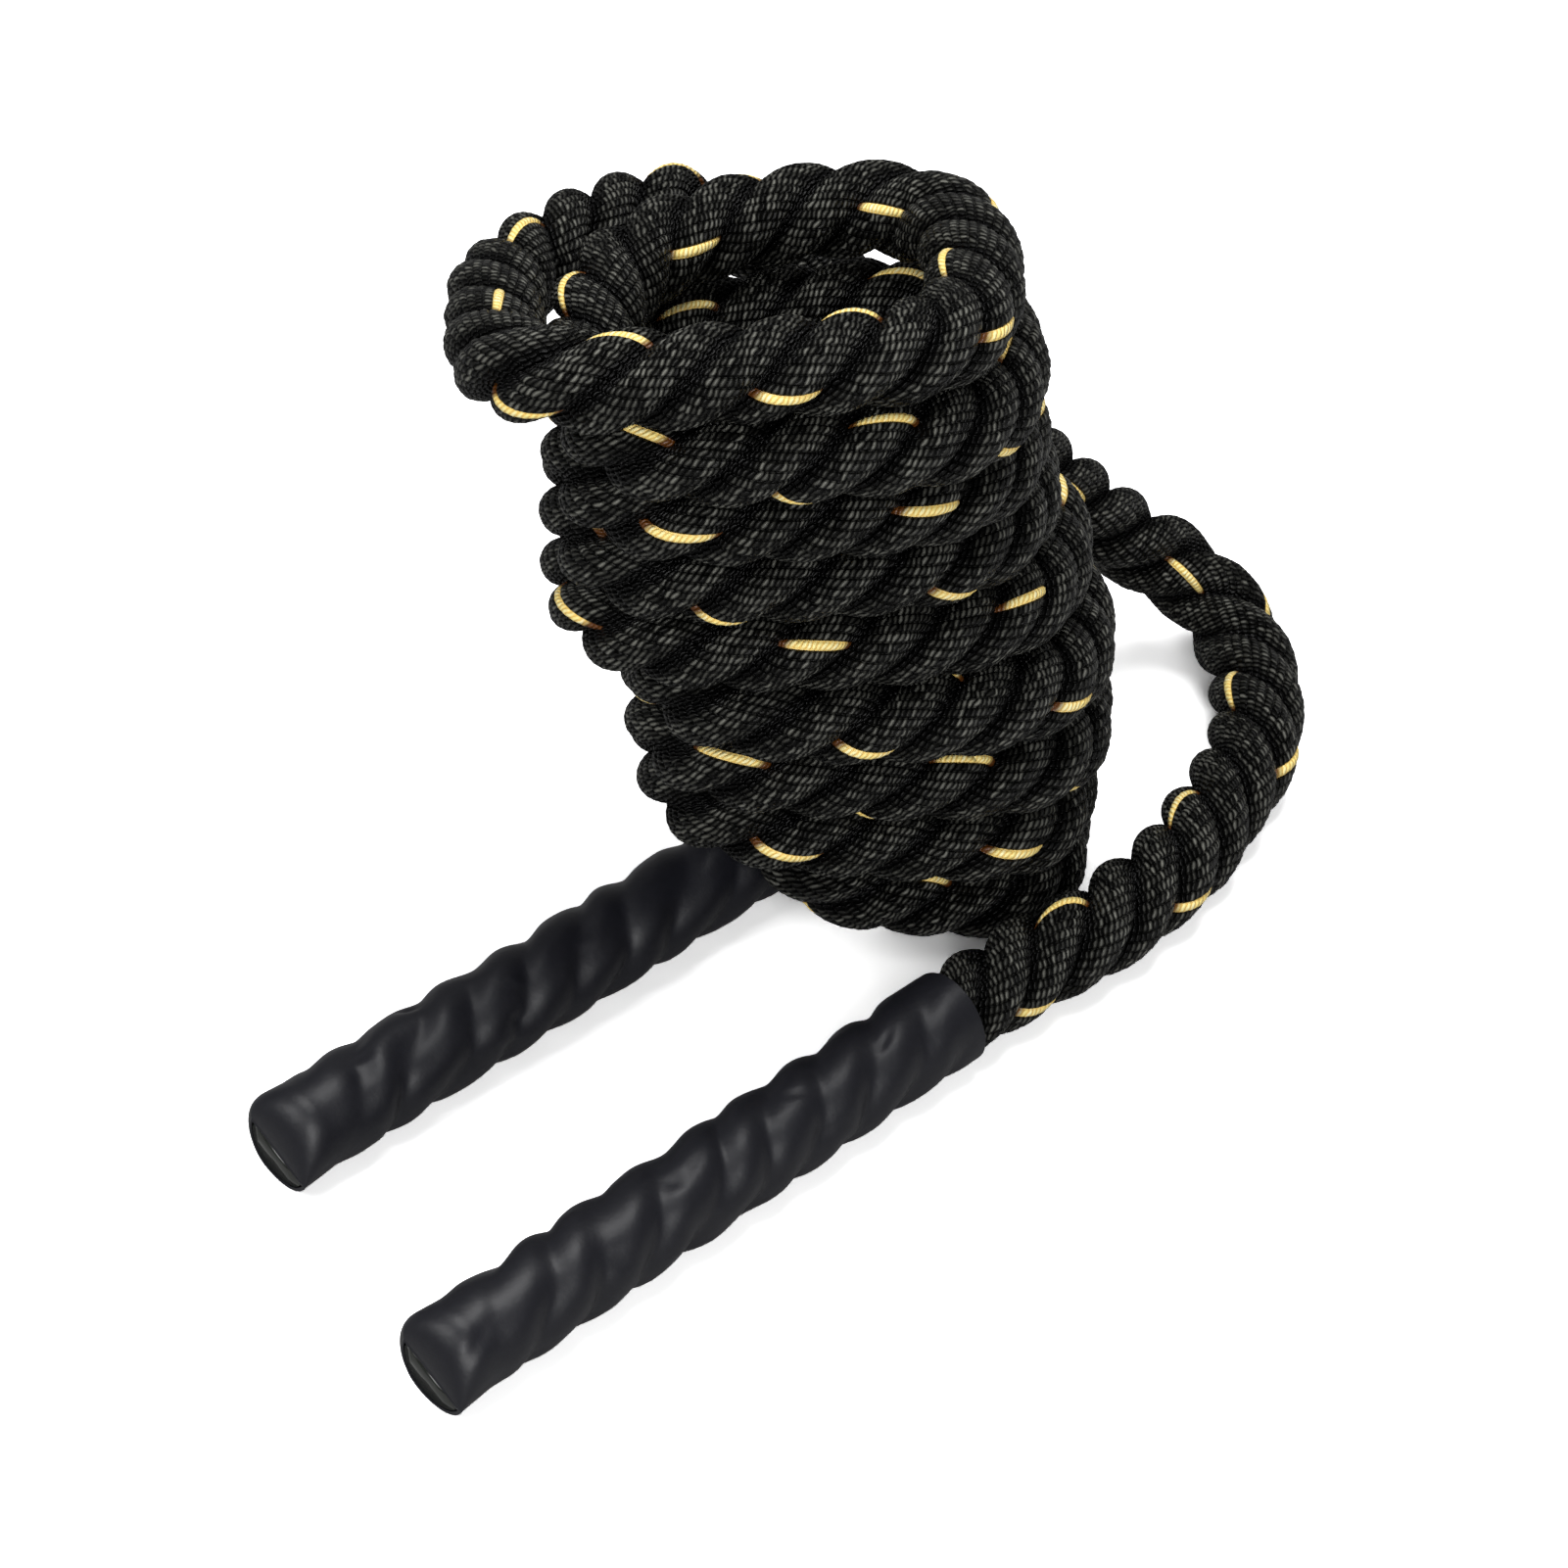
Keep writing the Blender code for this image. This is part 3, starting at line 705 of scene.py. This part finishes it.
def plain_material(name, colour, roughness, grain_scale, grain_depth, gloss=0.5):
    """A moulded or shrunk surface whose fine grain is darker and lighter than its colour by set shares."""
    made, tree, shader = new_material(name)
    coordinate = tree.nodes.new("ShaderNodeTexCoord")
    grain = tree.nodes.new("ShaderNodeGroup")
    grain.node_tree = fine_grain
    grain.inputs["Scale"].default_value = grain_scale
    grain.inputs["Dark"].default_value = (*(GRAIN_DARK * c for c in colour), 1)
    grain.inputs["Light"].default_value = (*(GRAIN_LIGHT * c for c in colour), 1)
    wire(tree, coordinate.outputs["Object"], grain.inputs["Coordinate"])
    wire(tree, grain.outputs["Tone"], shader.inputs["Base Color"])
    shader.inputs["Roughness"].default_value = roughness
    shader.inputs["Specular IOR Level"].default_value = gloss
    bumped(tree, shader, grain.outputs["Height"], grain_depth)
    return made


# Finishes
# Yarn colours: the colour of the gaps and the colour where a yarn dives between the strands are painted
# shade; the light bundles' colour is a random tone that is also painted sheen
BLACK_YARN = {
    "gap": (0.0003, 0.0003, 0.0003),
    "groove_shade": (0.0008, 0.0008, 0.0008),
    "dark": (0.004, 0.004, 0.0034),
    "light": (0.150, 0.150, 0.131),
}
GOLD_YARN = {
    "gap": (0.92, 0.62, 0.16),
    "groove_shade": (0.10, 0.03, 0.002),
    "dark": (1.0, 0.84, 0.30),
    "light": (1.0, 0.95, 0.56),
}
rope_black = yarn_material(
    "rope_black",
    BLACK_YARN,
    pitch=0.0022,
    slant=2.1,
    roughness=0.36,
    depth=0.0016,
    groove_shade_fade=(0.30, 0.80),
    gloss=0.17,
)
tracer_gold = yarn_material(
    "tracer_gold",
    GOLD_YARN,
    pitch=0.0019,
    slant=2.6,
    roughness=0.4,
    depth=0.0004,
    groove_shade_fade=(0.22, 0.60),
    gloss=0.5,
)
sleeve_black = plain_material(
    "sleeve_black",
    (0.0068, 0.0070, 0.0101),
    roughness=0.44,
    grain_scale=350,
    grain_depth=0.00012,
    gloss=0.38,
)
cap_black = plain_material(
    "cap_black",
    (0.016, 0.018, 0.015),
    roughness=0.16,
    grain_scale=700,
    grain_depth=0.00003,
)
rope_heart = plain_material(
    "rope_heart",
    (0.006, 0.006, 0.006),
    roughness=0.8,
    grain_scale=600,
    grain_depth=0.0001,
)
twine_grey = plain_material(
    "twine_grey",
    (0.1, 0.1, 0.1),
    roughness=0.8,
    grain_scale=600,
    grain_depth=0.0001,
)


def hearts():
    """The strands' hearts: three plain round tubes under the yarns, which carry the rope's length."""
    at = np.linspace(0, rope_length, round(rope_length / HEART_STEP) + 1)
    across = np.tile(angles(HEART_SIDES), (len(at), 1))
    radius = np.full((1, HEART_SIDES), STRAND_RADIUS * HEART_SHARE)
    sheets = [strand_points(at, k, across, radius) for k in range(STRANDS)]
    mesh, _ = grid_mesh("rope_hearts", sheets)
    return put("rope_hearts", mesh, [rope_heart])


def laid_section(name, start, end):
    """A stretch of the three strands with each yarn as a ridge that winds against the lay.

    A ridge is half an ellipse across the yarn, and stands higher or lower by a wave of its own. The first
    yarn of the first strand is the tracer.
    """
    at = np.linspace(start, end, round((end - start) / ALONG_STEP) + 1)
    count = YARNS * YARN_STEPS
    column = np.arange(count + 1) / YARN_STEPS
    yarn = np.floor(column[:-1]).astype(int)
    share = column[:-1] - yarn
    ridge = np.sqrt(np.maximum(1 - (2 * share - 1) ** 2, 0.0))
    angle = 2 * math.pi * column[:-1] / YARNS
    spin = 2 * math.pi * YARN_TURNS * (at - LAY_START) / LAY_LENGTH
    sheets, uvs, gold, facing = [], [], [], []
    for k in range(STRANDS):
        wander = SPIN_WANDER * wave(at, SPIN_SEED + k, SPIN_WAVES)
        across = angle[None] + spin[:, None] + wander[:, None]
        loose = np.stack([wave(at, LOOSE_SEED + 10 * k + j, LOOSE_WAVES) for j in range(YARNS)], 1)
        radius = STRAND_RADIUS - YARN_RELIEF * (1 - ridge)[None]
        radius = radius + LOOSE_RELIEF * loose[:, yarn] * ridge[None]
        tracer = (yarn == 0) & (k == 0)
        radius = radius + TRACER_PROUD * ridge[None] * tracer[None]
        sheets.append(strand_points(at, k, across, radius))
        # How far each point faces outwards, which sets the yarns' painted shade between the strands
        facing.append(np.cos(across))
        along = np.tile((at * YARN_LENGTH_SHARE)[:, None], (1, count + 1))
        counted = np.tile(column[None], (len(at), 1)) + YARNS * k
        uvs.append((along, counted))
        gold.append(np.tile(tracer, (len(at) - 1, 1)).ravel())
    mesh, quads = grid_mesh(name, sheets, uvs, facing)
    finishes = np.zeros(len(mesh.polygons), np.int32)
    finishes[:quads] = np.concatenate(gold)
    piece = put(name, mesh, [rope_black, tracer_gold])
    mesh.polygons.foreach_set("material_index", finishes)
    return piece


heart = hearts()
ends = np.linspace(0, rope_length, SECTIONS + 1)
sections = [laid_section(f"rope_laid_{k + 1}", ends[k], ends[k + 1]) for k in range(SECTIONS)]
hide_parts("rope_coil", "rope_lead", "rope_tail")


def pressed(a, y, z, wall):
    """A section's points moved as the closed end is pressed; wall is their depth under the outer face.

    Amount and shoulder are quarter circles along the axis, 1 at the end. High is measured along the
    direction of the press and side across it. The upper wall comes down to a lens over the middle, and
    the lower one rises.
    """
    amount = 1 - np.sqrt(1 - np.clip(1 - a / PRESSED, 0, 1) ** 2)
    shoulder = 1 - np.sqrt(1 - np.clip(1 - a / SHOULDER, 0, 1) ** 2)
    c, s = math.cos(PRESSED_FROM), math.sin(PRESSED_FROM)
    high = y * c + z * s
    side = z * c - y * s
    left_corner = SHOULDER_SHARE * shoulder * np.clip(side, 0, None)
    right_corner = OTHER_CORNER_SHARE * amount * np.clip(-side, 0, None)
    side = side - left_corner - right_corner
    share = np.clip(1 - (side / (SLEEVE_RADIUS - wall)) ** 2, 0, 1)
    upper = eased_step(high / (PRESSED_EDGE * SLEEVE_RADIUS))
    flat = PRESSED_SHORT * SLEEVE_RADIUS * share - wall * share
    lower = high * (1 - LOWER_RISE)
    target = np.where(high > 0, flat * upper + lower * (1 - upper) * EDGE_HEIGHT_SHARE, lower)
    high = high + amount * (target - high)
    return a - FLAP * amount * upper, high * c - side * s, high * s + side * c


def placed(points, end, angle):
    """A handle's points, given along, across and up from its axis, in the part's frame and off the floor."""
    a, y, z = points
    ca, sa = math.cos(angle), math.sin(angle)
    z = off_floor(z + HANDLE_HEIGHT, SLEEVE_SOFTNESS)
    x = end[0] + a * ca + y * sa + ROUTE_ORIGIN[0]
    return np.stack([x, end[1] + a * sa - y * ca + ROUTE_ORIGIN[1], z], -1)


def furrow_depth(a, w, seed):
    """How far a point along a and round w lies in the furrows between the three strands under the tube.

    A furrow is one less the size of a sine of one and a half times the wound angle, rounded at its bottom.
    It wanders, is uneven, and fades at both ends. A waist goes round behind the closed end.
    """
    fade_start, fade_run = MOUTH_RUN_OUT
    grown = eased_step((a - FURROW_START) / FURROW_RUN)
    shown = grown * (1 - MOUTH_FADE * eased_step((a - HANDLE_LENGTH + fade_start) / fade_run))
    wander = FURROW_WANDER * wave(a + WANDER_TWIST * np.sin(w), seed, FURROW_WAVES)
    furrow = np.sin(1.5 * (w - 2 * math.pi * a / LAY_LENGTH + seed) + wander)
    furrow = np.sqrt(furrow**2 + BOTTOM_ROUNDING + TOP_SOFTENING * eased_step(np.sin(w)))
    uneven = 1 + UNEVENNESS * wave(a + UNEVEN_TWIST * np.sin(w + 1), seed + 1, UNEVEN_WAVES)
    waist = NECK_DEPTH * np.exp(-(((a - NECK_PLACE) / NECK_WIDTH) ** 2))
    return FURROW_DEPTH * shown * uneven * (1 - furrow) + waist


def dent_depth(a, w, seed):
    """The sum of leaning bell-shaped dents, some of them bumps, at random places."""
    rng = np.random.default_rng(seed)
    ranges = (DENT_PLACES, DENT_ANGLES, DENT_SIZES, DENT_DEPTHS, DENT_LEANS)
    draws = [rng.uniform(low, high, DENTS) for low, high in ranges]
    depth = np.zeros_like(a)
    for at, round_at, size, deep, lean in zip(*draws):
        off = (np.mod(w - round_at + math.pi, 2 * math.pi) - math.pi) * SLEEVE_RADIUS
        away = a - at - lean * off
        depth += deep * np.exp(-((away / size) ** 2) - (off / (DENT_WIDTH_SHARE * size)) ** 2)
    return depth


def sleeve(name, end, angle, seed, node):
    """A shrunk tube with furrows and dents: an outer and an inner face, and an edge between them."""
    fine = FINE_LENGTH * (1 - np.cos(np.linspace(0, math.pi / 2, FINE_RINGS)))
    along = np.concatenate([fine[:-1], np.linspace(FINE_LENGTH, HANDLE_LENGTH, EVEN_RINGS)])
    a, w = np.meshgrid(along, angles(SLEEVE_SIDES), indexing="ij")
    radius = SLEEVE_RADIUS - furrow_depth(a, w, seed) - dent_depth(a, w, seed)
    inside = (radius - SLEEVE_WALL)[::-1]
    edge = radius[:1] - SLEEVE_WALL / 2
    parts = (
        pressed(a[:1] - LIP, edge * np.cos(w[:1]), edge * np.sin(w[:1]), SLEEVE_WALL / 2),
        pressed(a, radius * np.cos(w), radius * np.sin(w), 0.0),
        pressed(a[::-1], inside * np.cos(w), inside * np.sin(w), SLEEVE_WALL),
    )
    sheet = np.concatenate([placed(part, end, angle) for part in parts])
    rings, count = sheet.shape[:2]
    # The last ring joins the first, so the numbers of one ring too many start again from 0
    quads = tube_faces(rings + 1, count) % (rings * count)
    mesh = bpy.data.meshes.new(name)
    mesh.from_pydata(sheet.reshape(-1, 3).tolist(), [], quads.tolist())
    mesh.shade_smooth()
    mesh.set_sharp_from_angle(angle=SHARP_ANGLE)
    piece = put(name, mesh, [sleeve_black])
    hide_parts(node)


def plug(name, end, angle, node):
    """The cap in a closed end: it fills the pressed mouth under the upper wall, but for a thin slit."""
    around = angles(PLUG_SIDES)
    above = eased_step(0.5 + PLUG_SIDE_SLOPE * np.cos(around - PRESSED_FROM))
    above = PLUG_LOWER_SHARE + (1 - PLUG_LOWER_SHARE) * above
    sheets = []
    for a, upper_inset in PLUG_RINGS:
        inset = upper_inset * above
        radius = SLEEVE_RADIUS - SLEEVE_WALL - inset
        y, z = radius * np.cos(around), radius * np.sin(around)
        _, y, z = pressed(np.zeros_like(around), y, z, SLEEVE_WALL + inset)
        sheets.append(placed((np.full_like(around, a), y, z), end, angle))
    mesh, _ = grid_mesh(name, [np.stack(sheets)])
    piece = put(name, mesh, [cap_black])
    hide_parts(node)


def core(name, end, angle, extent, finish, node):
    """A plain round piece inside a sleeve, the rope's end or its whipping: extent is from, to and radius."""
    start, stop, radius = extent
    around = angles(CORE_SIDES)
    y, z = radius * np.cos(around), radius * np.sin(around)
    rings = [placed((np.full_like(around, a), y, z), end, angle) for a in (start, stop)]
    mesh, _ = grid_mesh(name, [np.stack(rings)])
    piece = put(name, mesh, [finish])
    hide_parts(node)


for side, where, end, angle, seed in HANDLES:
    sleeve(where + "_sleeve", end, angle, seed, side + "_handle_sleeve")
    plug(where + "_end_plug", end, angle, side + "_end_cap")
    core(where + "_rope_core", end, angle, ROPE_END, rope_heart, side + "_rope_end")
    core(where + "_twine", end, angle, WHIPPING, twine_grey, side + "_end_whipping")


def floor():
    """A pale floor: far from the object, where the lamps fade, the camera sees plain white."""
    reach, drop = FLOOR_REACH, -FLOOR_DROP
    mesh = bpy.data.meshes.new("floor")
    corners = [(-reach, -reach, drop), (reach, -reach, drop), (reach, reach, drop), (-reach, reach, drop)]
    mesh.from_pydata(corners, [], [(0, 1, 2, 3)])
    made = bpy.data.objects.new("floor", mesh)
    bpy.context.scene.collection.objects.link(made)
    white, tree, shader = new_material("floor_white")
    shader.inputs["Roughness"].default_value = FLOOR_ROUGHNESS
    shader.inputs["Specular IOR Level"].default_value = 0
    rays = tree.nodes.new("ShaderNodeLightPath")
    seen = mixed(tree, rays.outputs["Is Camera Ray"], FLOOR_TONE, FLOOR_SEEN)
    wire(tree, seen, shader.inputs["Base Color"])
    coordinate = tree.nodes.new("ShaderNodeTexCoord")
    distance = tree.nodes.new("ShaderNodeVectorMath")
    distance.operation = "LENGTH"
    wire(tree, coordinate.outputs["Object"], distance.inputs[0])
    far = ramped(tree, distance.outputs["Value"], WHITE_FROM, WHITE_BY)
    glow = sum_node(tree, "MULTIPLY", far, rays.outputs["Is Camera Ray"])
    shader.inputs["Emission Color"].default_value = (1, 1, 1, 1)
    wire(tree, glow, shader.inputs["Emission Strength"])
    mesh.materials.append(white)


def lamp(name, where, size, watts):
    """A square soft lamp at a place, facing the object."""
    data = bpy.data.lights.new(name, "AREA")
    data.size = size
    data.energy = watts
    made = bpy.data.objects.new(name, data)
    made.location = where
    x, y, z = np.array(LAMP_AIM) - np.array(where)
    made.rotation_euler = (math.atan2(math.hypot(x, y), -z), 0, math.atan2(x, -y) + math.pi)
    bpy.context.scene.collection.objects.link(made)


def studio():
    """A white world, which lights the object only weakly."""
    world = bpy.data.worlds.new("studio")
    bpy.context.scene.world = world
    world.use_nodes = True
    tree = world.node_tree
    background = tree.nodes["Background"]
    rays = tree.nodes.new("ShaderNodeLightPath")
    strength = tree.nodes.new("ShaderNodeMapRange")
    strength.inputs["To Min"].default_value = WORLD_LIGHT
    strength.inputs["To Max"].default_value = 1.0
    wire(tree, rays.outputs["Is Camera Ray"], strength.inputs["Value"])
    wire(tree, strength.outputs[0], background.inputs["Strength"])
    background.inputs["Color"].default_value = (1, 1, 1, 1)


def aimed_camera():
    """The camera at the photograph's angle, facing the route's origin."""
    data = bpy.data.cameras.new("camera")
    data.sensor_width = SENSOR
    data.lens = SENSOR * LENS_WIDTHS
    made = bpy.data.objects.new("camera", data)
    back = CAMERA_DISTANCE * math.cos(CAMERA_ELEVATION)
    rise = CAMERA_DISTANCE * math.sin(CAMERA_ELEVATION)
    x, y, z = ROUTE_ORIGIN
    made.location = (x, y - back, z + rise)
    made.rotation_euler = (math.pi / 2 - CAMERA_ELEVATION, 0, 0)
    bpy.context.scene.collection.objects.link(made)
    return made


floor()
for name, where, size, watts in LAMPS:
    lamp(name, where, size, watts)
studio()
bpy.context.scene.camera = aimed_camera()
bpy.context.scene.view_settings.view_transform = "Standard"
